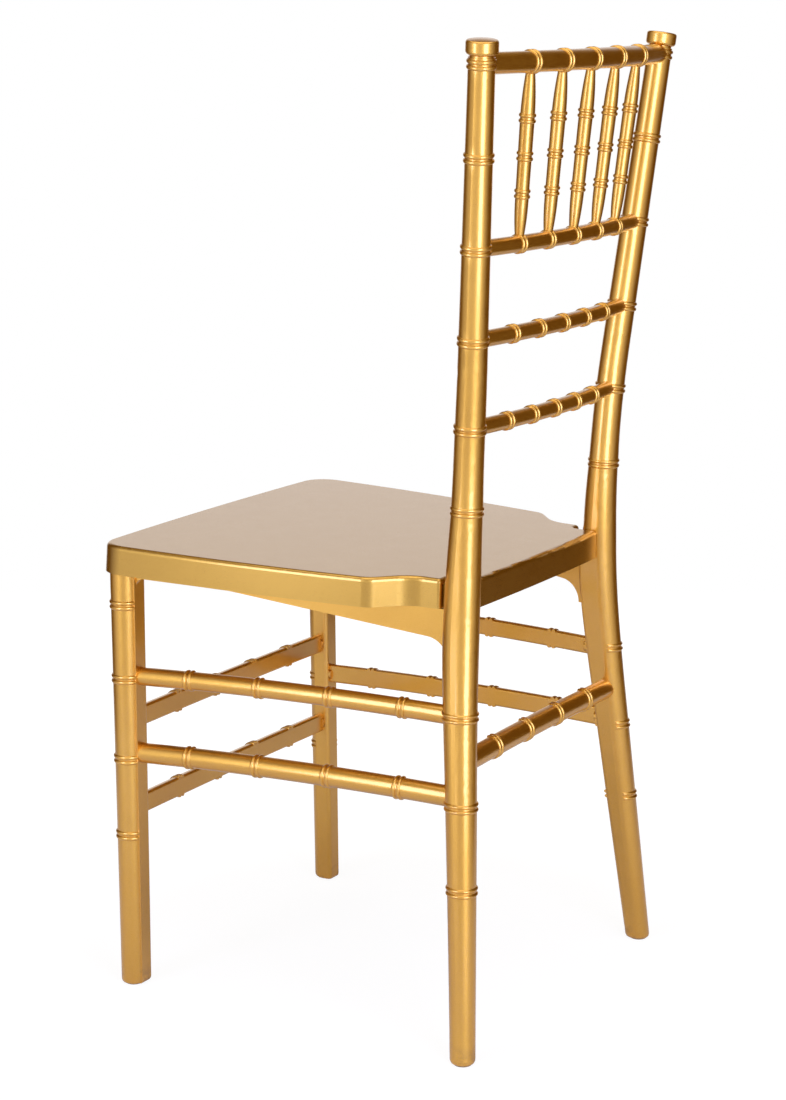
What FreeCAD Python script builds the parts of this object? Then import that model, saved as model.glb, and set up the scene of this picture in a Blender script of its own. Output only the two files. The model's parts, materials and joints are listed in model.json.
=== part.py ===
import FreeCAD
import Part
import math
import os

# Chiavari chair of moulded resin. Millimetres, +Z up, the sitter faces -Y.
# Origin on the floor under the middle of the chair. The right side (+X) is built and mirrored.

# Overall heights above the floor
CAP_TOP_HEIGHT = 920.4
TOP_RAIL_HEIGHT = 899.6
SPINDLE_RAIL_HEIGHT = 741.2
UPPER_LADDER_HEIGHT = 660.1
LOWER_LADDER_HEIGHT = 580.1
POST_COLLAR_HEIGHT = 505.6
SEAT_HEIGHT = 441.6

# Rear post: where its centre meets the floor, how it leans below and above the seat
REAR_FOOT_X = 186.5
REAR_FOOT_Y = 185.0
LOWER_SPLAY = 0.118
LOWER_RAKE = 0.0735
UPPER_SPLAY = 0.1137
UPPER_RAKE = 0.089
SPLAY_BEND_HEIGHT = 485.7
RAKE_BEND_HEIGHT = 452.5
BEND_HALF_LENGTH = 150.0

# Rear post sections
REAR_FOOT_RADIUS = 11.7
POST_SEAT_RADIUS = 14.6
POST_TOP_RADIUS = 11.8
WEB_DEPTH = 5.8
WEB_PEAK_HEIGHT = 372.0
WEB_CORNER_RADIUS = 3.5
WEB_LOWER_POWER = 1.6
WEB_UPPER_POWER = 1.5
FOOT_CORNER_SHARE = 0.8
SLIGHT_DEPTH = 0.3
COLLAR_STEP = 0.5
POST_STATIONS = 5

# Front leg
FRONT_FOOT_X = 178.8
FRONT_FOOT_Y = -191.5
FRONT_TOP_X = 175.5
FRONT_TOP_Y = -194.8
FRONT_FOOT_RADIUS = 12.3
FRONT_TOP_RADIUS = 13.85
FLAT_PROUD = 0.8
FLAT_START = 4.3
FLAT_FRONT = 2.0
FRONT_CORNER_RADIUS = 4.0

# Foot ends and glides
GLIDE_HEIGHT = 1.5
GLIDE_RADIUS = 8.5
GLIDE_STEM_RADIUS = 3.0
GLIDE_STEM_LENGTH = 10.0
FOOT_ROUNDING = 2.0
FOOT_ROUNDING_HEIGHT = 4.0
FOOT_STATIONS = 4
GLIDE_EDGE_SHARE = 0.4

# Double beads round every member
BEAD_RADIUS = 2.1
BEAD_STAND = 1.4
BEAD_SPACING = 5.0
BEAD_ROOT = 0.5
BEAD_SEAM_TURN = 37.0

# Bead heights on the legs
POST_LEG_RINGS = (317.6, 236.1, 159.6)
FRONT_LEG_RINGS = (384.4, 311.2, 231.0, 154.2)

# Caps on the rear posts
CAP_RADIUS = 14.3
CAP_NECK_RADIUS = 10.6
CAP_NECK_HEIGHT = 1.8
CAP_FLARE_HEIGHT = 3.4
CAP_FLARE_OUT_SHARE = 0.72
CAP_FLARE_UP_SHARE = 0.32
CAP_EDGE_RADIUS = 2.2
CAP_DOME = 0.8
CAP_LENGTH = 15.2
CAP_SPIGOT_RADIUS = 4.5
CAP_SPIGOT_LENGTH = 14.0

# Back rails: radius, rearward bow at the middle, pitch of the five double beads
TOP_RAIL_RADIUS = 9.45
TOP_RAIL_BOW = 16.0
TOP_RING_PITCH = 53.0
SPINDLE_RAIL_RADIUS = 7.55
SPINDLE_RAIL_BOW = 13.4
SPINDLE_RING_PITCH = 47.8
UPPER_LADDER_RADIUS = 7.5
UPPER_LADDER_BOW = 10.9
UPPER_LADDER_PITCH = 45.1
LOWER_LADDER_RADIUS = 7.4
LOWER_LADDER_BOW = 10.3
LOWER_LADDER_PITCH = 42.7
RAIL_TENON_RADIUS = 5.0
RAIL_TENON_LENGTH = 9.0
TOP_RAIL_TENON_LENGTH = 5.5

# Spindles
SPINDLE_COUNT = 5
SPINDLE_END_RADIUS = 4.2
SPINDLE_SHOULDER_RADIUS = 6.5
SPINDLE_WAIST_RADIUS = 6.1
SPINDLE_RING_FROM_TOP = 48.5
SPINDLE_RING_SPACING = 33.2
SPINDLE_BEAD_STAND = 1.2
SPINDLE_BEAD_RADIUS = 1.9
SPINDLE_RING_LAND = 3.0
SPINDLE_FOOT_RISE = 10.5
SPINDLE_FOOT_SHARE = 0.55
SPINDLE_HEAD_SHARE = 0.55
SPINDLE_HEAD_TAPER = 0.3
SPINDLE_TENON_RADIUS = 2.8
SPINDLE_TENON_LENGTH = 4.5

# Stretchers: half-round members with a flat inner face
LOWER_SIDE_FRONT_HEIGHT = 235.2
LOWER_SIDE_REAR_HEIGHT = 241.3
LOWER_SIDE_RADIUS = 9.9
UPPER_SIDE_FRONT_HEIGHT = 311.8
UPPER_SIDE_REAR_HEIGHT = 315.2
UPPER_SIDE_RADIUS = 8.9
SIDE_ARCH = 3.6
SIDE_INSET = 5.0
SIDE_RING_FIRST = 68.0
SIDE_RING_PITCH = 75.5
UPPER_FRONT_HEIGHT = 269.5
LOWER_FRONT_HEIGHT = 181.0
FRONT_STRETCHER_RADIUS = 10.0
FRONT_STRETCHER_SETBACK = 4.0
FRONT_ARCH = 1.0
FRONT_RING_PITCH = 67.0
REAR_STRETCHER_HEIGHT = 273.4
REAR_STRETCHER_RADIUS = 10.3
REAR_STRETCHER_SETFORWARD = 3.0
REAR_ARCH = 1.8
REAR_RING_PITCH = 61.8
FLAT_OFFSET = 3.0
FLAT_EDGE_RADIUS = 2.4
STRETCHER_RINGS = 4
STRETCHER_TENON_RADIUS = 6.0
STRETCHER_TENON_LENGTH = 8.0
STRETCHER_STATIONS = 7

# Seat: plan sizes, in the plane of its top, before it is tipped back
SEAT_SLOPE = 0.0165
SEAT_PLATE = 4.5
SEAT_WALL = 3.0
SKIRT_HEIGHT = 27.6
SEAT_FRONT_Y = -216.2
SEAT_FRONT_CORNER_Y = -211.8
SEAT_FRONT_HALF_WIDTH = 196.6
SEAT_SIDE_HALF_WIDTH = 190.0
SEAT_SIDE_Y = -70.0
SEAT_STEP_HALF_WIDTH = 172.0
SEAT_STEP_Y = 76.0
SEAT_TONGUE_HALF_WIDTH = 141.4
SEAT_TONGUE_Y = 103.5
SEAT_TONGUE_END_HALF_WIDTH = 140.2
SEAT_TONGUE_END_Y = 133.5
SEAT_REAR_Y = 161.7
SEAT_REAR_CORNER_Y = 159.6
SEAT_RADII = (28.0, 20.0, 34.0, 4.0, 4.0, 2.0)
SEAT_POST_GAP = 0.3
LEG_POCKET_CLEARANCE = 0.5
SEAT_TOP_ROUNDING = 4.0
FRONT_SKIRT_FLARE = 1.8
RIB_THICKNESS = 2.5
RIB_HEIGHT = 12.0
RIB_PITCH_X = 54.0
RIB_PITCH_Y = 60.0
RIB_CLEARANCE = 3.0
RIB_FRONT_MARGIN = 45.0
RIB_REAR_MARGIN = 40.0

# Side rails under the seat
APRON_THICKNESS = 6.5
APRON_FRONT_X = 177.2
APRON_FRONT_Y = -182.0
APRON_REAR_X = 137.9
APRON_REAR_Y = 130.0
APRON_FRONT_BOTTOM = 410.5
APRON_KNEE_Y = -83.0
APRON_KNEE_BOTTOM = 408.0
APRON_REAR_BOTTOM_Y = 112.0
APRON_REAR_BOTTOM = 385.5
APRON_REAR_FILLET = 22.0
APRON_FRONT_FILLET = 7.0
APRON_TENON_THICKNESS = 4.0
APRON_TENON_HEIGHT = 16.0
APRON_TENON_LENGTH = 7.0
APRON_TENON_FRONT_RISE = 12.0
APRON_TENON_REAR_RISE = 15.0

# Rebate that lets the skirt down outside the side rail near the rear post
REBATE_DEPTH = 3.5
REBATE_START_Y = 80.0
REBATE_CLEARANCE = 0.3

# Cross rails hidden behind the skirt
CROSS_RAIL_THICKNESS = 12.0
FRONT_RAIL_BOTTOM = 421.0
REAR_RAIL_BOTTOM = 413.5
REAR_RAIL_FORWARD = 8.5
CROSS_TENON_HALF_SIZE = 3.0
CROSS_TENON_LENGTH = 6.0
CROSS_TENON_RISE = 8.0

# Seat fixing: lugs on the side rails, bosses under the seat and the screws between them
LUG_Y_POSITIONS = (-120.0, 60.0)
LUG_LENGTH = 18.0
LUG_REACH = 18.0
LUG_THICKNESS = 5.0
LUG_HOLE_SHARE = 0.55
BOSS_RADIUS = 6.0
BOSS_HEIGHT = 8.0
SCREW_RADIUS = 2.0
SCREW_CLEARANCE = 0.2
SCREW_DEPTH = 10.0
SCREW_HEAD_RADIUS = 4.5
SCREW_HEAD_HEIGHT = 2.6
SCREW_CROSS_REACH = 2.4
SCREW_CROSS_HALF_WIDTH = 0.5
SCREW_CROSS_DEPTH = 1.2

# Gap kept round a tenon in its socket, at the sides and at the end
TENON_CLEARANCE = 0.1

# How far a tenon's root, and a rib or boss, reach into the piece that they grow from
TENON_ROOT = 3.0
FUSE_DEPTH = 0.5

# Larger than the chair's half sizes
FAR = 400.0


def vec(x, y, z):
    return FreeCAD.Vector(x, y, z)


def mirrored(shape):
    return shape.mirror(vec(0, 0, 0), vec(1, 0, 0))


def save(name, shape):
    shape.exportStep(os.path.join("parts", name + ".step"))
    print(name, "solids", len(shape.Solids), "volume", round(shape.Volume, 1), "valid", shape.isValid())


def box(x0, x1, y0, y1, z0, z1):
    return Part.makeBox(x1 - x0, y1 - y0, z1 - z0, vec(x0, y0, z0))


def arc(a, b, c):
    return Part.Arc(a, b, c).toShape()


def line(a, b):
    return Part.LineSegment(a, b).toShape()


def blend(a, b, t):
    return a + (b - a) * t


# Rear post centre and section

def bent(height, start, lower_slope, upper_slope, bend_height):
    # straight below and above the bend, a parabola between
    base = start - lower_slope * height
    turn = lower_slope + upper_slope
    past = height - bend_height
    if past <= -BEND_HALF_LENGTH:
        return base
    if past >= BEND_HALF_LENGTH:
        return base + turn * past
    return base + turn * (past + BEND_HALF_LENGTH) ** 2 / (4.0 * BEND_HALF_LENGTH)


def post_centre(height):
    x = bent(height, REAR_FOOT_X, LOWER_SPLAY, UPPER_SPLAY, SPLAY_BEND_HEIGHT)
    y = bent(height, REAR_FOOT_Y, LOWER_RAKE, UPPER_RAKE, RAKE_BEND_HEIGHT)
    return vec(x, y, height)


def post_direction(height):
    step = post_centre(height + 0.5) - post_centre(height - 0.5)
    step.normalize()
    return step


def post_radius(height):
    if height <= SEAT_HEIGHT:
        return blend(REAR_FOOT_RADIUS, POST_SEAT_RADIUS, height / SEAT_HEIGHT)
    share = (height - SEAT_HEIGHT) / (TOP_RAIL_HEIGHT - SEAT_HEIGHT)
    return blend(POST_SEAT_RADIUS, POST_TOP_RADIUS, share)


def web_depth(height):
    # how far the leg is deepened forward of its round rear
    if height <= WEB_PEAK_HEIGHT:
        return SLIGHT_DEPTH + (WEB_DEPTH - SLIGHT_DEPTH) * (height / WEB_PEAK_HEIGHT) ** WEB_LOWER_POWER
    share = (height - WEB_PEAK_HEIGHT) / (POST_COLLAR_HEIGHT - WEB_PEAK_HEIGHT)
    return SLIGHT_DEPTH + (WEB_DEPTH - SLIGHT_DEPTH) * (1.0 - min(share, 1.0) ** WEB_UPPER_POWER)


def web_corner(height, radius):
    # the flat inner face fades out towards the foot
    fade_height = POST_LEG_RINGS[1]
    if height >= fade_height:
        return WEB_CORNER_RADIUS
    return blend(FOOT_CORNER_SHARE * radius, WEB_CORNER_RADIUS, 1.0 - (1.0 - height / fade_height) ** 2)


def leg_section(height, grow=0.0, shrink=0.0, corner=None):
    # round outer and rear sides, flat inner face, small corner at the inner front
    c = post_centre(height)
    r = post_radius(height) + grow - shrink
    d = web_depth(height)
    k = min(web_corner(height, r) if corner is None else corner, r - SLIGHT_DEPTH)
    s = math.sqrt(0.5)

    def at(u, v):
        return vec(c.x + u, c.y + v, height)

    edges = [
        arc(at(-r, 0), at(-r * s, r * s), at(0, r)),
        arc(at(0, r), at(r * s, r * s), at(r, 0)),
        line(at(r, 0), at(r, -d)),
        arc(at(r, -d), at(r * s, -d - r * s), at(0, -d - r)),
        line(at(0, -d - r), at(-r + k, -d - r)),
        arc(at(-r + k, -d - r), at(-r + k - k * s, -d - r + k - k * s), at(-r, -d - r + k)),
        line(at(-r, -d - r + k), at(-r, 0)),
    ]
    return Part.Wire(edges)


def round_section(height, direction, swell=0.0):
    circle = Part.Circle(post_centre(height), direction, post_radius(height) + swell)
    return Part.Wire([circle.toShape()])


def bead_heights(height):
    return (height - BEAD_SPACING / 2.0, height + BEAD_SPACING / 2.0)


def torus_bead(centre, direction, radius):
    # turned about its axis so that its seam lies clear of the member's own
    bead = Part.makeTorus(radius + BEAD_STAND - BEAD_RADIUS, BEAD_RADIUS, centre, direction)
    bead.rotate(centre, direction, BEAD_SEAM_TURN)
    return bead


def leg_bead(height):
    # a bead that follows the leg's outline and dies away at its flat inner face
    low = leg_section(height - BEAD_RADIUS, grow=-BEAD_ROOT)
    mid = leg_section(height, grow=BEAD_STAND)
    top = leg_section(height + BEAD_RADIUS, grow=-BEAD_ROOT)
    bead = Part.makeLoft([low, mid, top], True, False)
    inner = post_centre(height).x - post_radius(height) + 1.5 * BEAD_ROOT
    return bead.cut(box(inner - FAR, inner, -FAR, FAR, height - FAR, height + FAR))


def foot_steps():
    # heights and shrinkages that round a foot's lower edge to a quarter ellipse
    steps = []
    for i in range(FOOT_STATIONS):
        rise = i / (FOOT_STATIONS - 1.0)
        shrink = FOOT_ROUNDING * (1.0 - math.sqrt(1.0 - (1.0 - rise) ** 2))
        steps.append((GLIDE_HEIGHT + rise * FOOT_ROUNDING_HEIGHT, shrink))
    return steps


def rear_post_shape():
    # outer form of one rear post before its sockets are cut
    seat_low = SEAT_HEIGHT - SKIRT_HEIGHT
    base = GLIDE_HEIGHT + FOOT_ROUNDING_HEIGHT
    foot = [leg_section(height, shrink=shrink) for height, shrink in foot_steps()]
    solids = [Part.makeLoft(foot, True, False)]
    levels = [base, blend(base, POST_LEG_RINGS[2], 0.5), POST_LEG_RINGS[2], POST_LEG_RINGS[1], POST_LEG_RINGS[0]]
    levels += [WEB_PEAK_HEIGHT, seat_low]
    solids.append(Part.makeLoft([leg_section(h) for h in levels], True, False))
    lower = leg_section(seat_low)
    upper = leg_section(SEAT_HEIGHT, corner=FAR)
    solids.append(Part.makeLoft([lower, upper], True, True))
    levels = [SEAT_HEIGHT, blend(SEAT_HEIGHT, POST_COLLAR_HEIGHT, 0.5), POST_COLLAR_HEIGHT]
    solids.append(Part.makeLoft([leg_section(h, corner=FAR) for h in levels], True, False))
    straight = SPLAY_BEND_HEIGHT + BEND_HALF_LENGTH
    top = post_top_height()
    levels = [blend(POST_COLLAR_HEIGHT, straight, i / (POST_STATIONS - 1.0)) for i in range(POST_STATIONS)]
    wires = [round_section(h, post_direction(h)) for h in levels[1:-1]]
    collar = round_section(levels[0], vec(0, 0, 1), COLLAR_STEP)
    solids.append(Part.makeLoft([collar] + wires + [round_section(straight, post_direction(top))], True, False))
    length = (post_centre(top) - post_centre(straight)).Length
    solids.append(Part.makeCone(post_radius(straight), post_radius(top), length,
                                post_centre(straight), post_direction(top)))
    between = 0.5 * (TOP_RAIL_HEIGHT + SPINDLE_RAIL_HEIGHT)
    rings = [TOP_RAIL_HEIGHT, between, SPINDLE_RAIL_HEIGHT, UPPER_LADDER_HEIGHT]
    rings += [LOWER_LADDER_HEIGHT, POST_COLLAR_HEIGHT]
    for ring in rings:
        for height in bead_heights(ring):
            solids.append(torus_bead(post_centre(height), post_direction(height), post_radius(height)))
    # the leg's beads are joined one at a time, since a joint fuse can drop one of them
    post = solids[0].multiFuse(solids[1:])
    for ring in POST_LEG_RINGS:
        for height in bead_heights(ring):
            post = post.fuse(leg_bead(height))
    return post


def post_top_height():
    return CAP_TOP_HEIGHT - CAP_LENGTH * post_direction(TOP_RAIL_HEIGHT).z


# Front leg

def front_centre(height):
    share = (height - GLIDE_HEIGHT) / (SEAT_HEIGHT - GLIDE_HEIGHT)
    return vec(blend(FRONT_FOOT_X, FRONT_TOP_X, share), blend(FRONT_FOOT_Y, FRONT_TOP_Y, share), height)


def front_radius(height):
    share = (height - GLIDE_HEIGHT) / (SEAT_HEIGHT - GLIDE_HEIGHT)
    return blend(FRONT_FOOT_RADIUS, FRONT_TOP_RADIUS, share)


def front_section(height, shrink=0.0):
    # round leg with its inner rear quarter squared
    c = front_centre(height)
    r = front_radius(height) - shrink
    q = r + FLAT_PROUD
    k = FRONT_CORNER_RADIUS
    s = k * (1.0 - math.sqrt(0.5))
    inner = -math.sqrt(r * r - FLAT_FRONT * FLAT_FRONT)
    rear = math.sqrt(r * r - FLAT_START * FLAT_START)

    def at(u, v):
        return vec(c.x + u, c.y + v, height)

    edges = [
        line(at(inner, -FLAT_FRONT), at(-q, -FLAT_FRONT)),
        line(at(-q, -FLAT_FRONT), at(-q, q - k)),
        arc(at(-q, q - k), at(-q + s, q - s), at(-q + k, q)),
        line(at(-q + k, q), at(FLAT_START, q)),
        line(at(FLAT_START, q), at(FLAT_START, rear)),
        arc(at(FLAT_START, rear), at(r * math.sqrt(0.5), -r * math.sqrt(0.5)), at(inner, -FLAT_FRONT)),
    ]
    return Part.Wire(edges)


def front_leg_shape():
    base = GLIDE_HEIGHT + FOOT_ROUNDING_HEIGHT
    foot = [front_section(height, shrink=shrink) for height, shrink in foot_steps()]
    solids = [Part.makeLoft(foot, True, False)]
    solids.append(Part.makeLoft([front_section(base), front_section(SEAT_HEIGHT + SEAT_PLATE)], True, True))
    for ring in FRONT_LEG_RINGS:
        for height in bead_heights(ring):
            c = front_centre(height)
            bead = torus_bead(c, vec(0, 0, 1), front_radius(height))
            plain = box(c.x - FAR, c.x + FLAT_START, c.y - FLAT_FRONT, c.y + FAR, height - FAR, height + FAR)
            solids.append(bead.cut(plain))
    leg = solids[0].multiFuse(solids[1:])
    return leg.cut(above_plate())


# Seat plane: everything of the seat is drawn level and then tipped

def tipped(shape):
    placed = shape.copy()
    placed.rotate(vec(0, 0, 0), vec(1, 0, 0), -math.degrees(math.atan(SEAT_SLOPE)))
    placed.translate(vec(0, 0, SEAT_HEIGHT))
    return placed


def above_plate():
    # the space from the underside of the seat plate upwards
    return tipped(box(-FAR, FAR, -FAR, FAR, -SEAT_PLATE, FAR))


def notch_x_at(level):
    # the seat's notch follows the lean of the post's flat inner face
    height = SEAT_HEIGHT + level
    return post_centre(height).x - post_radius(height) - SEAT_POST_GAP


def seat_corners(notch_x, flare, inset):
    # right-hand corners from the front to the rear, moved inwards by the inset
    mirror_front = vec(-SEAT_FRONT_HALF_WIDTH, SEAT_FRONT_CORNER_Y - flare, 0)
    mirror_rear = vec(-notch_x, SEAT_REAR_CORNER_Y, 0)
    points = [
        mirror_front,
        vec(SEAT_FRONT_HALF_WIDTH, SEAT_FRONT_CORNER_Y - flare, 0),
        vec(SEAT_STEP_HALF_WIDTH, SEAT_STEP_Y, 0),
        vec(SEAT_TONGUE_HALF_WIDTH, SEAT_TONGUE_Y, 0),
        vec(SEAT_TONGUE_END_HALF_WIDTH, SEAT_TONGUE_END_Y, 0),
        vec(notch_x, SEAT_TONGUE_END_Y, 0),
        vec(notch_x, SEAT_REAR_CORNER_Y, 0),
        mirror_rear,
    ]
    corners = []
    for before, corner, after in zip(points, points[1:], points[2:]):
        a = corner - before
        b = after - corner
        a.normalize()
        b.normalize()
        normals = vec(-a.y - b.y, a.x + b.x, 0)
        corners.append(corner + normals * (inset / (1.0 + a.dot(b))))
    return corners


def seat_wire(level, notch_x, flare=0.0, inset=0.0):
    right = [corner + vec(0, 0, level) for corner in seat_corners(notch_x, flare, inset)]
    side_mid = vec(SEAT_SIDE_HALF_WIDTH - inset, SEAT_SIDE_Y, level)
    front_mid = vec(0, SEAT_FRONT_Y - flare + inset, level)
    rear_mid = vec(0, SEAT_REAR_Y - inset, level)
    left = [vec(-p.x, p.y, p.z) for p in right]
    half = [arc(right[0], side_mid, right[1])] + [line(a, b) for a, b in zip(right[1:], right[2:])]
    ends = [arc(left[0], front_mid, right[0]), arc(right[-1], rear_mid, left[-1])]
    return Part.Wire(Part.__sortEdges__(half + [mirrored(edge) for edge in half] + ends))


def round_corners(solid, corners, radii, level):
    # rounds the upright edges that start at the given corners
    for corner, radius in zip(corners, radii):
        for x in (corner.x, -corner.x):
            point = vec(x, corner.y, level)
            edges = [e for e in solid.Edges if e.BoundBox.ZLength > 0.5 * SKIRT_HEIGHT
                     and min((v.Point - point).Length for v in e.Vertexes) < 0.01]
            solid = solid.makeFillet(radius, edges)
    return solid


def notch_lean():
    # wedge that leans the notch's side along the post, which comes inwards as it rises
    y = SEAT_TONGUE_END_Y + SEAT_RADII[4] + FUSE_DEPTH
    low = -SKIRT_HEIGHT - SEAT_PLATE
    corners = [vec(notch_x_at(low), y, low), vec(notch_x_at(SEAT_PLATE), y, SEAT_PLATE),
               vec(FAR, y, SEAT_PLATE), vec(FAR, y, low)]
    edges = [line(a, b) for a, b in zip(corners, corners[1:] + corners[:1])]
    return Part.Face(Part.Wire(edges)).extrude(vec(0, FAR, 0))


def seat_solid():
    wide = notch_x_at(-SKIRT_HEIGHT)
    narrow = notch_x_at(-SEAT_PLATE)
    outer = Part.makeLoft([seat_wire(-SKIRT_HEIGHT, wide, FRONT_SKIRT_FLARE), seat_wire(0.0, wide)], True, True)
    outer = round_corners(outer, seat_corners(wide, 0.0, 0.0), SEAT_RADII, 0.0)
    rim = [e for e in outer.Edges if e.BoundBox.ZMin > -0.01]
    outer = outer.makeFillet(SEAT_TOP_ROUNDING, rim)
    lean = notch_lean()
    outer = outer.cut(lean).cut(mirrored(lean))
    face = Part.Face(seat_wire(-SEAT_PLATE, narrow, 0.0, SEAT_WALL))
    hollow = face.extrude(vec(0, 0, -SKIRT_HEIGHT))
    turns = (-1, -1, 1, -1, 1, -1)
    inner_radii = [max(r + turn * SEAT_WALL, 1.0) for r, turn in zip(SEAT_RADII, turns)]
    hollow = round_corners(hollow, seat_corners(narrow, 0.0, SEAT_WALL), inner_radii, -SEAT_PLATE)
    shell = outer.cut(hollow)
    # no skirt between the notch and the rails that run through it
    open_to = SEAT_REAR_CORNER_Y - SEAT_WALL
    gap = box(notch_x_at(0.0) - 2.0 * SEAT_WALL, SEAT_TONGUE_END_HALF_WIDTH - SEAT_WALL,
              SEAT_TONGUE_END_Y - 2.0 * SEAT_WALL, open_to, -SKIRT_HEIGHT - 1.0, -SEAT_PLATE)
    shell = shell.cut(gap).cut(mirrored(gap))
    extras = seat_ribs() + [boss(x, y) for x, y in lug_places()]
    shell = shell.multiFuse(extras)
    for x, y in lug_places():
        pilot = Part.makeCylinder(SCREW_RADIUS, SCREW_DEPTH, vec(x, y, -SEAT_PLATE - BOSS_HEIGHT))
        shell = shell.cut(pilot)
    for x in (FRONT_TOP_X, -FRONT_TOP_X):
        pocket = Part.makeCylinder(FRONT_TOP_RADIUS + LEG_POCKET_CLEARANCE, SKIRT_HEIGHT,
                                   vec(x, FRONT_TOP_Y, -SEAT_PLATE - SKIRT_HEIGHT))
        shell = shell.cut(pocket)
    return tipped(shell)


def apron_outer_x(y):
    return blend(APRON_FRONT_X, APRON_REAR_X, (y - APRON_FRONT_Y) / (APRON_REAR_Y - APRON_FRONT_Y))


def apron_inward():
    # level direction square to the side rail, towards the middle of the chair
    run = vec(APRON_REAR_X - APRON_FRONT_X, APRON_REAR_Y - APRON_FRONT_Y, 0)
    run.normalize()
    return vec(-run.y, run.x, 0)


def apron_inner_x(y):
    return apron_outer_x(y) + APRON_THICKNESS / apron_inward().x


def seat_ribs():
    ribs = []
    low = -SEAT_PLATE - RIB_HEIGHT
    half = 0.5 * RIB_THICKNESS
    front = SEAT_FRONT_CORNER_Y + RIB_FRONT_MARGIN
    back = SEAT_REAR_CORNER_Y - RIB_REAR_MARGIN
    for i in (-1, 0, 1):
        x = i * RIB_PITCH_X
        ribs.append(box(x - half, x + half, front, back, low, -SEAT_PLATE + FUSE_DEPTH))
    for j in range(-2, 2):
        y = j * RIB_PITCH_Y
        reach = apron_inner_x(y) - LUG_REACH - RIB_CLEARANCE
        ribs.append(box(-reach, reach, y - half, y + half, low, -SEAT_PLATE + FUSE_DEPTH))
    return ribs


def lug_places():
    places = []
    for y in LUG_Y_POSITIONS:
        x = apron_inner_x(y) - LUG_HOLE_SHARE * LUG_REACH
        places += [(x, y), (-x, y)]
    return places


def boss(x, y):
    return Part.makeCylinder(BOSS_RADIUS, BOSS_HEIGHT + FUSE_DEPTH, vec(x, y, -SEAT_PLATE - BOSS_HEIGHT))


def screws():
    solids = []
    under = -SEAT_PLATE - BOSS_HEIGHT - LUG_THICKNESS
    for x, y in lug_places():
        shank = Part.makeCylinder(SCREW_RADIUS, LUG_THICKNESS + SCREW_DEPTH, vec(x, y, under))
        head = Part.makeCylinder(SCREW_HEAD_RADIUS, SCREW_HEAD_HEIGHT, vec(x, y, under - SCREW_HEAD_HEIGHT))
        rim = [e for e in head.Edges if e.BoundBox.ZMax < under - SCREW_HEAD_HEIGHT + 0.01]
        head = head.makeFillet(0.4 * SCREW_HEAD_HEIGHT, rim)
        reach = SCREW_CROSS_REACH
        half = SCREW_CROSS_HALF_WIDTH
        slot = box(-reach, reach, -half, half, 0, SCREW_CROSS_DEPTH)
        cross = slot.fuse(box(-half, half, -reach, reach, 0, SCREW_CROSS_DEPTH))
        cross.translate(vec(x, y, under - SCREW_HEAD_HEIGHT))
        solids.append(tipped(head.fuse(shank).cut(cross).removeSplitter()))
    return Part.Compound(solids)


# Side rail of the seat, cut to the two legs that carry it

def skirt_low(y):
    return SEAT_HEIGHT - SKIRT_HEIGHT - SEAT_SLOPE * y


def side_rail(front_leg, rear_post):
    front_in = front_centre(APRON_FRONT_BOTTOM).y
    leg_face = front_in + front_radius(APRON_FRONT_BOTTOM) + FLAT_PROUD
    post_face = post_centre(APRON_REAR_BOTTOM).y - post_radius(APRON_REAR_BOTTOM) - web_depth(APRON_REAR_BOTTOM)
    post_in = post_face + WEB_CORNER_RADIUS
    top = SEAT_HEIGHT + 2.0 * SEAT_PLATE
    f = APRON_FRONT_FILLET
    s = f * (1.0 - math.sqrt(0.5))

    def at(y, z):
        return vec(apron_outer_x(y), y, z)

    a = at(front_in, APRON_FRONT_BOTTOM - f)
    b = at(leg_face, APRON_FRONT_BOTTOM - f)
    b_mid = at(leg_face + s, APRON_FRONT_BOTTOM - s)
    c = at(leg_face + f, APRON_FRONT_BOTTOM)
    knee = at(APRON_KNEE_Y, APRON_KNEE_BOTTOM)

    # fillet tangent to the sloping lower edge and to the post's front face
    fall = (APRON_KNEE_BOTTOM - APRON_REAR_BOTTOM) / (APRON_REAR_BOTTOM_Y - APRON_KNEE_Y)
    tilt = math.atan(fall)
    corner_z = APRON_REAR_BOTTOM - fall * (post_face - APRON_REAR_BOTTOM_Y)
    g = APRON_REAR_FILLET
    reach = g * math.tan(0.5 * (math.pi / 2.0 - tilt))
    share = g / math.hypot(g, reach)
    d = at(post_face - reach * math.cos(tilt), corner_z + reach * math.sin(tilt))
    d_mid = at(post_face - g + g * share, corner_z - reach + reach * share)
    e = at(post_face, corner_z - reach)
    h = at(post_in, corner_z - reach)
    up = at(post_in, top)
    over = at(front_in, top)
    wire = Part.Wire([line(a, b), arc(b, b_mid, c), line(c, knee), line(knee, d), arc(d, d_mid, e),
                      line(e, h), line(h, up), line(up, over), line(over, a)])
    board = Part.Face(wire).extrude(apron_inward() * APRON_THICKNESS)
    low_start = at(REBATE_START_Y, skirt_low(REBATE_START_Y) - REBATE_CLEARANCE)
    low_end = at(post_in, skirt_low(post_in) - REBATE_CLEARANCE)
    high_start = at(REBATE_START_Y, top)
    rebate = Part.Face(Part.Wire([line(low_start, low_end), line(low_end, up), line(up, high_start),
                                  line(high_start, low_start)]))
    board = board.cut(rebate.extrude(apron_inward() * REBATE_DEPTH))
    board = board.cut(above_plate()).cut(front_leg).cut(rear_post)
    board = max(board.Solids, key=lambda solid: solid.Volume)
    lugs = []
    for x, y in lug_places():
        if x > 0:
            low = -SEAT_PLATE - BOSS_HEIGHT - LUG_THICKNESS
            inner = apron_inner_x(y)
            lug = box(inner - LUG_REACH, inner + 0.5 * APRON_THICKNESS, y - LUG_LENGTH / 2, y + LUG_LENGTH / 2,
                      low, low + LUG_THICKNESS)
            hole = Part.makeCylinder(SCREW_RADIUS + SCREW_CLEARANCE, LUG_THICKNESS, vec(x, y, low))
            lugs.append(tipped(lug.cut(hole)))
    return board.multiFuse(lugs)


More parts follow.
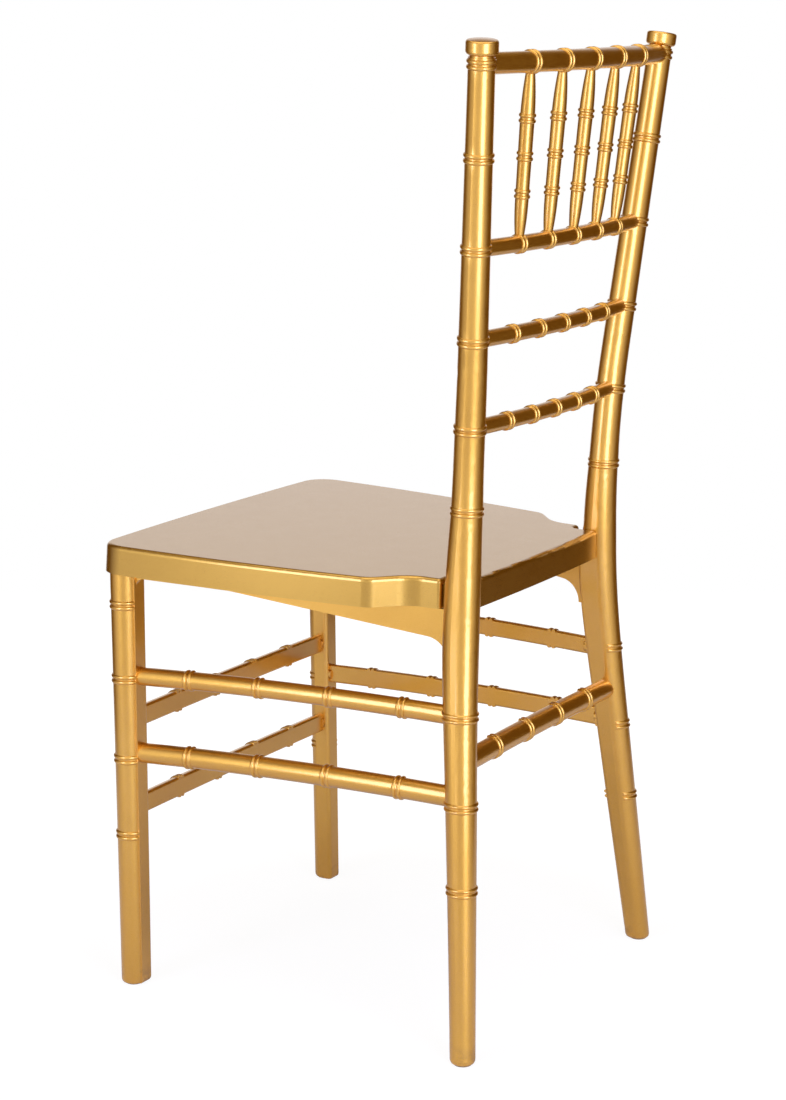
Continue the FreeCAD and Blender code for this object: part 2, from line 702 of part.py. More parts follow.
def side_rail_tenons():
    # tongues at the two ends of the side rail, along the rail's own direction
    tenons = []
    half = 0.5 * APRON_TENON_THICKNESS
    for y_end, z, sign in (
        (front_centre(APRON_FRONT_BOTTOM).y + FRONT_TOP_RADIUS, APRON_FRONT_BOTTOM + APRON_TENON_FRONT_RISE, -1),
        (post_centre(APRON_REAR_BOTTOM).y - POST_SEAT_RADIUS - WEB_DEPTH,
         APRON_REAR_BOTTOM + APRON_TENON_REAR_RISE, 1),
    ):
        x = apron_outer_x(y_end) - 0.5 * APRON_THICKNESS
        y_far = y_end + sign * APRON_TENON_LENGTH
        root = y_end - sign * TENON_ROOT
        low, high = min(root, y_far), max(root, y_far)
        tenons.append((x - half, x + half, low, high, z - APRON_TENON_HEIGHT / 2, z + APRON_TENON_HEIGHT / 2))
    return tenons


def grown(extent, gap):
    x0, x1, y0, y1, z0, z1 = extent
    return box(x0 - gap, x1 + gap, y0 - gap, y1 + gap, z0 - gap, z1 + gap)


# Stretchers

def half_round(centre, outward, radius):
    # section with a round outer side and a flat inner face with softened edges
    up = vec(0, 0, 1)
    f = FLAT_OFFSET
    k = FLAT_EDGE_RADIUS
    s = k * math.sqrt(0.5)

    def at(u, w):
        return centre + outward * u + up * w

    edges = [
        arc(at(0, radius), at(radius, 0), at(0, -radius)),
        line(at(0, -radius), at(-f + k, -radius)),
        arc(at(-f + k, -radius), at(-f + k - s, -radius + k - s), at(-f, -radius + k)),
        line(at(-f, -radius + k), at(-f, radius - k)),
        arc(at(-f, radius - k), at(-f + k - s, radius - k + s), at(-f + k, radius)),
        line(at(-f + k, radius), at(0, radius)),
    ]
    return Part.Wire(edges)


def stretcher(start, end, outward, radius, arch, ring_distances, cutters):
    # arched half-round bar from start to end, beaded, cut to the legs at its ends, with round tenons
    span = end - start
    length = span.Length
    last = STRETCHER_STATIONS - 1.0

    def point(share):
        return start + span * share + vec(0, 0, arch * 4.0 * share * (1.0 - share))

    wires = [half_round(point(i / last), outward, radius) for i in range(STRETCHER_STATIONS)]
    solids = [Part.makeLoft(wires, True, False)]
    for distance in ring_distances:
        for offset in (-BEAD_SPACING / 2.0, BEAD_SPACING / 2.0):
            share = (distance + offset) / length
            centre = point(share)
            direction = point(share + 0.01) - point(share - 0.01)
            direction.normalize()
            bead = torus_bead(centre, direction, radius)
            wall = Part.makeBox(FAR, FAR, FAR)
            wall.translate(vec(-FAR / 2.0, -FAR, -FAR / 2.0))
            turn = math.degrees(math.atan2(outward.x, outward.y))
            wall.rotate(vec(0, 0, 0), vec(0, 0, 1), -turn)
            wall.translate(centre - outward * FLAT_OFFSET)
            solids.append(bead.cut(wall))
    bar = solids[0].multiFuse(solids[1:])
    for cutter in cutters:
        bar = bar.cut(cutter)
    middle = point(0.5)
    return min(bar.Solids, key=lambda solid: (solid.CenterOfMass - middle).Length)


def tenon_pegs(bar_axis, cutters, radius, length, clearance=0.0):
    # round pegs that carry on from the bar into the leg at each end
    pegs = []
    start, end = bar_axis
    along = end - start
    along.normalize()
    for point, inward, cutter in ((start, along, cutters[0]), (end, along * -1.0, cutters[1])):
        probe = Part.makeLine(point, point + inward * FAR).common(cutter)
        surface = max((v.Point for v in probe.Vertexes), key=lambda p: (p - point).Length)
        root = surface + inward * TENON_ROOT
        reach = length + TENON_ROOT + clearance
        pegs.append(Part.makeCylinder(radius + clearance, reach, root, inward * -1.0))
    return pegs


def side_stretcher(front_height, rear_height, radius):
    start = front_centre(front_height) - vec(SIDE_INSET, 0, 0)
    end = post_centre(rear_height) - vec(SIDE_INSET, 0, 0)
    along = vec(end.x - start.x, end.y - start.y, 0)
    along.normalize()
    outward = vec(along.y, -along.x, 0)
    distances = [SIDE_RING_FIRST + i * SIDE_RING_PITCH for i in range(STRETCHER_RINGS)]
    return start, end, outward, radius, SIDE_ARCH, distances


def cross_stretcher(centre, outward, radius, arch, pitch):
    start = vec(centre.x, centre.y, centre.z)
    end = vec(-centre.x, centre.y, centre.z)
    first = centre.x - 0.5 * (STRETCHER_RINGS - 1) * pitch
    distances = [first + i * pitch for i in range(STRETCHER_RINGS)]
    return start, end, outward, radius, arch, distances


# Back rails and spindles

def rail_point(height, bow, x):
    end = post_centre(height)
    return vec(x, end.y + bow * (1.0 - (x / end.x) ** 2), height)


def back_rail(height, radius, bow, pitch, cutters):
    # round bar bowed to the rear, with five double beads
    end = post_centre(height)
    path = Part.Arc(vec(-end.x, end.y, height), vec(0, end.y + bow, height), end)
    wire = Part.Wire([path.toShape()])
    start = path.value(path.FirstParameter)
    tangent = path.tangent(path.FirstParameter)[0]
    profile = Part.Wire([Part.Circle(start, tangent, radius).toShape()])
    solids = [wire.makePipeShell([profile], True, False)]
    half = (SPINDLE_COUNT - 1) / 2.0
    for i in range(SPINDLE_COUNT):
        x = (i - half) * pitch
        for offset in (-BEAD_SPACING / 2.0, BEAD_SPACING / 2.0):
            place = path.parameter(rail_point(height, bow, x + offset))
            direction = path.tangent(place)[0]
            solids.append(torus_bead(path.value(place), direction, radius))
    bar = solids[0].multiFuse(solids[1:])
    for cutter in cutters:
        bar = bar.cut(cutter)
    return max(bar.Solids, key=lambda solid: solid.Volume)


def rail_pegs(height, bow, radius, length, post, clearance=0.0):
    end = post_centre(height)
    inner = rail_point(height, bow, 0.75 * end.x)
    along = end - inner
    along.normalize()
    probe = Part.makeLine(inner, end).common(post)
    surface = min((v.Point for v in probe.Vertexes), key=lambda p: (p - inner).Length)
    peg = Part.makeCylinder(radius + clearance, length + TENON_ROOT + clearance, surface - along * TENON_ROOT, along)
    return [peg, mirrored(peg)]


def spindle_axis(index):
    place = index - (SPINDLE_COUNT - 1) / 2.0
    low = rail_point(SPINDLE_RAIL_HEIGHT, SPINDLE_RAIL_BOW, place * SPINDLE_RING_PITCH)
    high = rail_point(TOP_RAIL_HEIGHT, TOP_RAIL_BOW, place * TOP_RING_PITCH)
    return low, high


def spindle(index, cutters):
    # turned spindle, revolved about its own axis and cut to the two rails
    low, high = spindle_axis(index)
    length = (high - low).Length
    top = length - TOP_RAIL_RADIUS
    bottom = SPINDLE_RAIL_RADIUS
    ring = top - SPINDLE_RING_FROM_TOP + TOP_RAIL_RADIUS
    rings = [ring - i * SPINDLE_RING_SPACING for i in range(3)]
    shoulder = SPINDLE_SHOULDER_RADIUS
    waist = SPINDLE_WAIST_RADIUS
    end = SPINDLE_END_RADIUS
    land = SPINDLE_RING_LAND
    stations = [
        (0.0, end), (bottom, end), (bottom + SPINDLE_FOOT_RISE, blend(end, waist, SPINDLE_FOOT_SHARE)),
        (rings[2] - land, waist), (rings[2] + land, waist), (rings[1], 0.5 * (waist + shoulder)),
        (rings[0] - land, shoulder), (rings[0] + land, shoulder),
        (blend(rings[0], top, SPINDLE_HEAD_SHARE), blend(shoulder, end, SPINDLE_HEAD_TAPER)),
        (top, end), (length, end),
    ]
    points = [vec(r, 0, z) for z, r in stations]
    curve = Part.BSplineCurve()
    curve.interpolate(points[1:-1])
    outline = [
        line(vec(0, 0, 0), points[0]), line(points[0], points[1]), curve.toShape(),
        line(points[-2], points[-1]), line(points[-1], vec(0, 0, length)), line(vec(0, 0, length), vec(0, 0, 0)),
    ]
    body = Part.Face(Part.Wire(outline)).revolve(vec(0, 0, 0), vec(0, 0, 1), 360)
    beads = []
    for i, z in enumerate(rings):
        radius = blend(shoulder, waist, i / 2.0)
        for offset in (-BEAD_SPACING / 2.0, BEAD_SPACING / 2.0):
            major = radius + SPINDLE_BEAD_STAND - SPINDLE_BEAD_RADIUS
            beads.append(Part.makeTorus(major, SPINDLE_BEAD_RADIUS, vec(0, 0, z + offset)))
    body = body.multiFuse(beads)
    turn = FreeCAD.Rotation(vec(0, 0, 1), high - low)
    body.Placement = FreeCAD.Placement(low, turn)
    for cutter in cutters:
        body = body.cut(cutter)
    return max(body.Solids, key=lambda solid: solid.Volume)


def spindle_pegs(index, clearance=0.0):
    low, high = spindle_axis(index)
    along = high - low
    along.normalize()
    radius = SPINDLE_TENON_RADIUS + clearance
    reach = SPINDLE_TENON_LENGTH + clearance
    lower = Part.makeCylinder(radius, reach + TENON_ROOT, low + along * (SPINDLE_RAIL_RADIUS + TENON_ROOT), along * -1.0)
    upper = Part.makeCylinder(radius, reach + TENON_ROOT, high - along * (TOP_RAIL_RADIUS + TENON_ROOT), along)
    return lower, upper


# Caps and glides

def cap_placement():
    height = post_top_height()
    return FreeCAD.Placement(post_centre(height), FreeCAD.Rotation(vec(0, 0, 1), post_direction(height)))


def cap():
    neck_top = CAP_NECK_HEIGHT
    side_low = neck_top + CAP_FLARE_HEIGHT
    side_high = CAP_LENGTH - CAP_DOME - CAP_EDGE_RADIUS
    k = CAP_EDGE_RADIUS
    s = k * (1.0 - math.sqrt(0.5))
    r = CAP_RADIUS

    def at(x, z):
        return vec(x, 0, z)

    bend = at(blend(CAP_NECK_RADIUS, r, CAP_FLARE_OUT_SHARE), neck_top + CAP_FLARE_UP_SHARE * CAP_FLARE_HEIGHT)
    dome = Part.BezierCurve()
    dome.setPoles([at(r - k, side_high + k), at(0.5 * (r - k), CAP_LENGTH), at(0, CAP_LENGTH)])
    edges = [
        line(at(0, -CAP_SPIGOT_LENGTH), at(CAP_SPIGOT_RADIUS, -CAP_SPIGOT_LENGTH)),
        line(at(CAP_SPIGOT_RADIUS, -CAP_SPIGOT_LENGTH), at(CAP_SPIGOT_RADIUS, 0)),
        line(at(CAP_SPIGOT_RADIUS, 0), at(CAP_NECK_RADIUS, 0)),
        line(at(CAP_NECK_RADIUS, 0), at(CAP_NECK_RADIUS, neck_top)),
        arc(at(CAP_NECK_RADIUS, neck_top), bend, at(r, side_low)),
        line(at(r, side_low), at(r, side_high)),
        arc(at(r, side_high), at(r - s, side_high + k - s), at(r - k, side_high + k)),
        dome.toShape(),
        line(at(0, CAP_LENGTH), at(0, -CAP_SPIGOT_LENGTH)),
    ]
    solid = Part.Face(Part.Wire(edges)).revolve(vec(0, 0, 0), vec(0, 0, 1), 360)
    solid.Placement = cap_placement()
    return solid


def cap_bore():
    bore = Part.makeCylinder(CAP_SPIGOT_RADIUS + TENON_CLEARANCE, CAP_SPIGOT_LENGTH + 2.0,
                             vec(0, 0, -CAP_SPIGOT_LENGTH - 1.0))
    bore.Placement = cap_placement()
    return bore


def glide(centre):
    foot = Part.makeCylinder(GLIDE_RADIUS, GLIDE_HEIGHT, vec(centre.x, centre.y, 0))
    rim = [e for e in foot.Edges if e.BoundBox.ZMax < 0.01]
    foot = foot.makeFillet(GLIDE_EDGE_SHARE * GLIDE_HEIGHT, rim)
    stem = Part.makeCylinder(GLIDE_STEM_RADIUS, GLIDE_STEM_LENGTH, vec(centre.x, centre.y, GLIDE_HEIGHT))
    return foot.fuse(stem).removeSplitter()


def glide_bore(centre):
    return Part.makeCylinder(GLIDE_STEM_RADIUS + TENON_CLEARANCE, GLIDE_STEM_LENGTH + TENON_CLEARANCE,
                             vec(centre.x, centre.y, GLIDE_HEIGHT))


# Cross rails of the seat frame

def cross_rail(y_rear, bottom, leg_x, cutters):
    rail = box(-leg_x, leg_x, y_rear - CROSS_RAIL_THICKNESS, y_rear, bottom, SEAT_HEIGHT + 2.0 * SEAT_PLATE)
    rail = rail.cut(above_plate())
    for cutter in cutters:
        rail = rail.cut(cutter)
    return min(rail.Solids, key=lambda solid: abs(solid.CenterOfMass.x))


def cross_tenon(y_rear, bottom, x_face, clearance=0.0):
    y = y_rear - CROSS_RAIL_THICKNESS / 2.0
    z = bottom + CROSS_TENON_RISE
    half = CROSS_TENON_HALF_SIZE + clearance
    peg = box(x_face - TENON_ROOT, x_face + CROSS_TENON_LENGTH + clearance, y - half, y + half, z - half, z + half)
    return [peg, mirrored(peg)]


def build():
    os.makedirs("parts", exist_ok=True)
    front_form = front_leg_shape()
    post_form = rear_post_shape()
    both_posts = (post_form, mirrored(post_form))
    both_fronts = (front_form, mirrored(front_form))
    post_holes = [cap_bore(), glide_bore(post_centre(0.0))]
    front_holes = [glide_bore(front_centre(0.0))]

    rails = {
        "top_rail": (TOP_RAIL_HEIGHT, TOP_RAIL_RADIUS, TOP_RAIL_BOW, TOP_RING_PITCH),
        "spindle_rail": (SPINDLE_RAIL_HEIGHT, SPINDLE_RAIL_RADIUS, SPINDLE_RAIL_BOW, SPINDLE_RING_PITCH),
        "ladder_rail_upper": (UPPER_LADDER_HEIGHT, UPPER_LADDER_RADIUS, UPPER_LADDER_BOW, UPPER_LADDER_PITCH),
        "ladder_rail_lower": (LOWER_LADDER_HEIGHT, LOWER_LADDER_RADIUS, LOWER_LADDER_BOW, LOWER_LADDER_PITCH),
    }
    finial = cap()
    both_caps = (finial, mirrored(finial))
    bars = {}
    for name, (height, radius, bow, pitch) in rails.items():
        bar = back_rail(height, radius, bow, pitch, both_posts + both_caps)
        tenon = TOP_RAIL_TENON_LENGTH if name == "top_rail" else RAIL_TENON_LENGTH
        pegs = rail_pegs(height, bow, RAIL_TENON_RADIUS, tenon, post_form)
        bars[name] = bar.multiFuse(pegs).removeSplitter()
        post_holes += rail_pegs(height, bow, RAIL_TENON_RADIUS, tenon, post_form, TENON_CLEARANCE)[:1]

    top_form = bars["top_rail"]
    low_form = bars["spindle_rail"]
    for i in range(SPINDLE_COUNT):
        body = spindle(i, (top_form, low_form))
        save("spindle_%d" % (i + 1), body.multiFuse(spindle_pegs(i)).removeSplitter())
        lower, upper = spindle_pegs(i, TENON_CLEARANCE)
        bars["spindle_rail"] = bars["spindle_rail"].cut(lower)
        bars["top_rail"] = bars["top_rail"].cut(upper)
    for name, bar in bars.items():
        save(name, bar)

    pairs = (
        ("side_stretcher_lower", LOWER_SIDE_FRONT_HEIGHT, LOWER_SIDE_REAR_HEIGHT, LOWER_SIDE_RADIUS),
        ("side_stretcher_upper", UPPER_SIDE_FRONT_HEIGHT, UPPER_SIDE_REAR_HEIGHT, UPPER_SIDE_RADIUS),
    )
    cutters = (front_form, post_form)
    for name, front_height, rear_height, radius in pairs:
        spec = side_stretcher(front_height, rear_height, radius)
        bar = stretcher(*spec, cutters)
        pegs = tenon_pegs(spec[:2], cutters, STRETCHER_TENON_RADIUS, STRETCHER_TENON_LENGTH)
        bar = bar.multiFuse(pegs).removeSplitter()
        save(name + "_right", bar)
        save(name + "_left", mirrored(bar))
        holes = tenon_pegs(spec[:2], cutters, STRETCHER_TENON_RADIUS, STRETCHER_TENON_LENGTH, TENON_CLEARANCE)
        front_holes.append(holes[0])
        post_holes.append(holes[1])

    for name, height in (("front_stretcher_upper", UPPER_FRONT_HEIGHT), ("front_stretcher_lower", LOWER_FRONT_HEIGHT)):
        centre = front_centre(height) + vec(0, FRONT_STRETCHER_SETBACK, 0)
        spec = cross_stretcher(centre, vec(0, -1, 0), FRONT_STRETCHER_RADIUS, FRONT_ARCH, FRONT_RING_PITCH)
        bar = stretcher(*spec, both_fronts)
        pegs = tenon_pegs(spec[:2], both_fronts, STRETCHER_TENON_RADIUS, STRETCHER_TENON_LENGTH)
        save(name, bar.multiFuse(pegs).removeSplitter())
        front_holes.append(tenon_pegs(spec[:2], both_fronts, STRETCHER_TENON_RADIUS,
                                      STRETCHER_TENON_LENGTH, TENON_CLEARANCE)[0])

    centre = post_centre(REAR_STRETCHER_HEIGHT) - vec(0, REAR_STRETCHER_SETFORWARD, 0)
    spec = cross_stretcher(centre, vec(0, 1, 0), REAR_STRETCHER_RADIUS, REAR_ARCH, REAR_RING_PITCH)
    bar = stretcher(*spec, both_posts)
    pegs = tenon_pegs(spec[:2], both_posts, STRETCHER_TENON_RADIUS, STRETCHER_TENON_LENGTH)
    save("rear_stretcher", bar.multiFuse(pegs).removeSplitter())
    post_holes.append(tenon_pegs(spec[:2], both_posts, STRETCHER_TENON_RADIUS,
                                 STRETCHER_TENON_LENGTH, TENON_CLEARANCE)[0])

    apron = side_rail(front_form, post_form)
    tongues = side_rail_tenons()
    apron = apron.multiFuse([grown(t, 0.0) for t in tongues]).removeSplitter()
    save("side_rail_right", apron)
    save("side_rail_left", mirrored(apron))
    front_holes.append(grown(tongues[0], TENON_CLEARANCE))
    post_holes.append(grown(tongues[1], TENON_CLEARANCE))

    front_y = front_centre(SEAT_HEIGHT).y + CROSS_RAIL_THICKNESS / 2.0
    front_rail = cross_rail(front_y, FRONT_RAIL_BOTTOM, front_centre(SEAT_HEIGHT).x, both_fronts)
    face = front_centre(SEAT_HEIGHT).x - FRONT_TOP_RADIUS
    pegs = cross_tenon(front_y, FRONT_RAIL_BOTTOM, face)
    save("front_seat_rail", front_rail.multiFuse(pegs).removeSplitter())
    front_holes.append(cross_tenon(front_y, FRONT_RAIL_BOTTOM, face, TENON_CLEARANCE)[0])

    rear_y = SEAT_REAR_CORNER_Y - REAR_RAIL_FORWARD
    cutters = both_posts + (apron, mirrored(apron))
    rear_rail = cross_rail(rear_y, REAR_RAIL_BOTTOM, post_centre(SEAT_HEIGHT).x, cutters)
    face = post_centre(REAR_RAIL_BOTTOM).x - POST_SEAT_RADIUS
    pegs = cross_tenon(rear_y, REAR_RAIL_BOTTOM, face)
    save("rear_seat_rail", rear_rail.multiFuse(pegs).removeSplitter())
    post_holes.append(cross_tenon(rear_y, REAR_RAIL_BOTTOM, face, TENON_CLEARANCE)[0])

    post = post_form
    for hole in post_holes:
        post = post.cut(hole)
    save("back_post_right", post)
    save("back_post_left", mirrored(post))
    leg = front_form
    for hole in front_holes:
        leg = leg.cut(hole)
    save("front_leg_right", leg)
    save("front_leg_left", mirrored(leg))

    save("post_cap_right", finial)
    save("post_cap_left", mirrored(finial))
    save("seat", seat_solid())
    save("seat_screws", screws())
    for name, centre in (("rear", post_centre(0.0)), ("front", front_centre(0.0))):
        foot = glide(centre)
        save("foot_glide_%s_right" % name, foot)
        save("foot_glide_%s_left" % name, mirrored(foot))


build()
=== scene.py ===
import json
import math

import bpy
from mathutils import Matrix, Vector


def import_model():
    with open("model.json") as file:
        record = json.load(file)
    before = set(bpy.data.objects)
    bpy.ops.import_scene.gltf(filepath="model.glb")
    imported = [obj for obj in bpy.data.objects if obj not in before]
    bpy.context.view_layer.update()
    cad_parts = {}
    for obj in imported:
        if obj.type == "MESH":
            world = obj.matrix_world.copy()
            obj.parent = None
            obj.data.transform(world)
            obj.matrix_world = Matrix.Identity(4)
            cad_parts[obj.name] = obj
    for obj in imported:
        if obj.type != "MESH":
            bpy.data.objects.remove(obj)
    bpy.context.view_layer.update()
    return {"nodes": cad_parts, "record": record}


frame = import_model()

# Camera, fitted to the photograph
PHOTO_WIDTH = 786.0
PHOTO_HEIGHT = 1100.0
FOCAL_PIXELS = 2578.6
SENSOR_WIDTH = 36.0
CAMERA_PLACE = Vector((2.1129, 1.2542, 0.9690))
CAMERA_AZIMUTH = math.radians(120.69)
CAMERA_ELEVATION = math.radians(12.48)

# Level directions: towards the camera, and to the right in the picture
TO_CAMERA = Vector((math.sin(CAMERA_AZIMUTH), -math.cos(CAMERA_AZIMUTH), 0.0))
TO_RIGHT = Vector((-TO_CAMERA.y, TO_CAMERA.x, 0.0))

# Finishes and lights, as linear colours
GOLD = (0.84, 0.465, 0.06, 1.0)
GOLD_DEEP = (0.77, 0.40, 0.04, 1.0)
GOLD_SEAT = (0.67, 0.39, 0.06, 1.0)
GOLD_SEAT_DEEP = (0.64, 0.365, 0.05, 1.0)
SCUFFED = (0.24, 0.13, 0.04, 1.0)
NYLON = (0.36, 0.23, 0.09, 1.0)
ZINC = (0.55, 0.55, 0.56, 1.0)
FLOOR_WHITE = (0.82, 0.82, 0.82, 1.0)
DIM_SURROUND = (1.0, 0.42, 0.02, 1.0)
PANEL_WHITE = (0.95, 1.08, 1.7)
OVERHEAD_WHITE = (1.0, 0.93, 0.75)
GLOW_WHITE = (1.0, 1.055, 1.13, 1.0)
PLAIN_WHITE = (1.0, 1.0, 1.0, 1.0)

# Grain of the finishes, in cycles per metre, and depth of the orange peel
FLAKE_SCALE = 1100.0
CLOUD_SCALE = 9.0
PEEL_SCALE = 420.0
STREAK_SCALE = 55.0
ZINC_SCALE = 900.0
NYLON_SCALE = 500.0
PEEL_DEPTH = 0.00012
PEEL_STRENGTH = 0.32
FLAKE_IN_PEEL = 0.25

# Swings of tone and roughness about their middle values
FLAKE_TONE = 0.4
CLOUD_TONE = 0.4
FLAKE_ROUGHNESS = 0.08
STREAK_ROUGHNESS = 0.03
PLAIN_ROUGHNESS = 0.06
PLAIN_DARK_SHARE = 0.75

# Scuffing just above the floor
SCUFF_FULL_HEIGHT = 0.002
SCUFF_END_HEIGHT = 0.022
SCUFF_SHARE = 0.45
SCUFF_ROUGHNESS = 0.3

# Floor sweep, running away from the camera, with its faint shadow near the feet
FLOOR_WIDTH = 2.0
FLOOR_LENGTH = 3.2
FLOOR_GLOW = 1.1
FLOOR_SHADOW_SHARE = 0.16
SHADOW_FULL_REACH = 0.3
SHADOW_END_REACH = 0.8

# Upright panels: degrees to the right of the camera, distance, height of the middle, size and radiance
LEFT_PANEL_TURN = -46.0
LEFT_PANEL_DISTANCE = 1.5
LEFT_PANEL_MIDDLE = 0.88
LEFT_PANEL_WIDTH = 0.45
LEFT_PANEL_HEIGHT = 1.25
LEFT_PANEL_RADIANCE = 3.0
RIGHT_PANEL_TURN = 25.0
RIGHT_PANEL_DISTANCE = 1.6
RIGHT_PANEL_MIDDLE = 0.85
RIGHT_PANEL_WIDTH = 0.72
RIGHT_PANEL_HEIGHT = 1.4
RIGHT_PANEL_RADIANCE = 3.3
PANEL_AIM = Vector((0.0, 0.0, 0.8))

# Overhead softbox
OVERHEAD_PLACE = Vector((0.1, 0.1, 2.6))
OVERHEAD_WIDTH = 2.2
OVERHEAD_RADIANCE = 1.5

# Glow of the studio round the chair: degrees from its middle where it ends and where it is full
FRONT_GLOW_TURN = -10.0
FRONT_GLOW_END = 107.0
FRONT_GLOW_FULL = 58.0
FRONT_GLOW_LEVEL = 0.62
BACKDROP_TURN = 180.0
BACKDROP_END = 34.0
BACKDROP_FULL = 18.0
BACKDROP_LEVEL = 0.77
SURROUND_LEVEL = 0.12

# Upward share of a direction where the backdrop and the whole glow fall off, and what is left above
BACKDROP_FADE_START = 0.3
BACKDROP_FADE_END = 0.5
BACKDROP_LEFT = 0.05
GLOW_FADE_START = 0.55
GLOW_FADE_END = 0.85
GLOW_LEFT = 0.35
STEEPEST_LEVEL_SHARE = 0.05


def link(tree, out, node, name):
    tree.links.new(out, node.inputs[name])


def new_material(name):
    material = bpy.data.materials.new(name)
    material.use_nodes = True
    tree = material.node_tree
    tree.nodes.clear()
    output = tree.nodes.new("ShaderNodeOutputMaterial")
    shader = tree.nodes.new("ShaderNodeBsdfPrincipled")
    link(tree, shader.outputs["BSDF"], output, "Surface")
    return material, tree, shader


def object_point(tree):
    return tree.nodes.new("ShaderNodeTexCoord").outputs["Object"]


def noise(tree, point, scale, detail=2.0, roughness=0.5):
    node = tree.nodes.new("ShaderNodeTexNoise")
    node.inputs["Scale"].default_value = scale
    node.inputs["Detail"].default_value = detail
    node.inputs["Roughness"].default_value = roughness
    link(tree, point, node, "Vector")
    return node.outputs["Fac"]


def remap(tree, value, low, high, to_low, to_high):
    node = tree.nodes.new("ShaderNodeMapRange")
    node.inputs["From Min"].default_value = low
    node.inputs["From Max"].default_value = high
    node.inputs["To Min"].default_value = to_low
    node.inputs["To Max"].default_value = to_high
    link(tree, value, node, "Value")
    return node.outputs["Result"]


def math_node(tree, operation, first, second):
    node = tree.nodes.new("ShaderNodeMath")
    node.operation = operation
    for i, value in enumerate((first, second)):
        if isinstance(value, float):
            node.inputs[i].default_value = value
        else:
            tree.links.new(value, node.inputs[i])
    return node.outputs[0]


def mix_colour(tree, factor, first, second):
    node = tree.nodes.new("ShaderNodeMix")
    node.data_type = "RGBA"
    tree.links.new(factor, node.inputs["Factor"])
    for socket, value in ((node.inputs[6], first), (node.inputs[7], second)):
        if isinstance(value, tuple):
            socket.default_value = value
        else:
            tree.links.new(value, socket)
    return node.outputs[2]


def gold_paint(name, light, deep, roughness, coat_roughness, coat_ior, texture):
    # metallic lacquer over moulded resin: fine flake, slight clouding, orange peel and scuffed feet
    material, tree, shader = new_material(name)
    point = object_point(tree)
    flake = noise(tree, point, FLAKE_SCALE, 3.0, 0.75)
    cloud = noise(tree, point, CLOUD_SCALE, 3.0, 0.55)
    peel = noise(tree, point, PEEL_SCALE, 2.0)
    streak = noise(tree, point, STREAK_SCALE, 4.0, 0.6)
    cloud_tone = CLOUD_TONE * texture
    tone = math_node(tree, "ADD", remap(tree, flake, 0.35, 0.65, -FLAKE_TONE, FLAKE_TONE),
                     remap(tree, cloud, 0.3, 0.7, 0.5 - cloud_tone, 0.5 + cloud_tone))
    colour = mix_colour(tree, tone, deep, light)
    height = tree.nodes.new("ShaderNodeSeparateXYZ")
    tree.links.new(point, height.inputs[0])
    near_floor = remap(tree, height.outputs["Z"], SCUFF_FULL_HEIGHT, SCUFF_END_HEIGHT, 1.0, 0.0)
    scuff = math_node(tree, "MULTIPLY", near_floor, remap(tree, streak, 0.52, 0.62, 0.0, SCUFF_SHARE))
    colour = mix_colour(tree, scuff, colour, SCUFFED)
    link(tree, colour, shader, "Base Color")
    grain = remap(tree, flake, 0.3, 0.7, -FLAKE_ROUGHNESS, FLAKE_ROUGHNESS)
    smear = remap(tree, streak, 0.3, 0.7, -STREAK_ROUGHNESS * texture, STREAK_ROUGHNESS * texture)
    worn = math_node(tree, "MULTIPLY", scuff, SCUFF_ROUGHNESS)
    rough = math_node(tree, "ADD", math_node(tree, "ADD", grain, smear), roughness)
    link(tree, math_node(tree, "ADD", rough, worn), shader, "Roughness")
    shader.inputs["Metallic"].default_value = 1.0
    shader.inputs["Coat Weight"].default_value = 1.0
    shader.inputs["Coat Roughness"].default_value = coat_roughness
    shader.inputs["Coat IOR"].default_value = coat_ior
    bump = tree.nodes.new("ShaderNodeBump")
    bump.inputs["Strength"].default_value = PEEL_STRENGTH * texture
    bump.inputs["Distance"].default_value = PEEL_DEPTH
    relief = math_node(tree, "ADD", peel, math_node(tree, "MULTIPLY", flake, FLAKE_IN_PEEL))
    link(tree, relief, bump, "Height")
    link(tree, bump.outputs["Normal"], shader, "Normal")
    return material


def plain_finish(name, colour, metallic, roughness, grain_scale):
    material, tree, shader = new_material(name)
    point = object_point(tree)
    grain = noise(tree, point, grain_scale, 3.0, 0.6)
    dark = tuple(PLAIN_DARK_SHARE * c for c in colour[:3]) + (1.0,)
    link(tree, mix_colour(tree, grain, dark, colour), shader, "Base Color")
    least = roughness - PLAIN_ROUGHNESS
    most = roughness + PLAIN_ROUGHNESS
    link(tree, remap(tree, grain, 0.3, 0.7, least, most), shader, "Roughness")
    shader.inputs["Metallic"].default_value = metallic
    return material


def dress_nodes():
    frame_gold = gold_paint("gold_paint_frame", GOLD, GOLD_DEEP,
                            roughness=0.36, coat_roughness=0.16, coat_ior=1.72, texture=1.0)
    seat_gold = gold_paint("gold_paint_seat", GOLD_SEAT, GOLD_SEAT_DEEP,
                           roughness=0.33, coat_roughness=0.18, coat_ior=1.6, texture=0.4)
    zinc = plain_finish("zinc_plate", ZINC, metallic=1.0, roughness=0.35, grain_scale=ZINC_SCALE)
    nylon = plain_finish("nylon_glide", NYLON, metallic=0.0, roughness=0.55, grain_scale=NYLON_SCALE)
    finishes = {"gold_frame": frame_gold, "gold_seat": seat_gold, "screw": zinc, "glide": nylon}
    slots = {part["node"]: part["material_slot"] for part in frame["record"]["subparts"]}
    for name, node in frame["nodes"].items():
        material = finishes[slots[name]]
        if not node.material_slots:
            node.data.materials.append(material)
        for holder in node.material_slots:
            holder.material = material


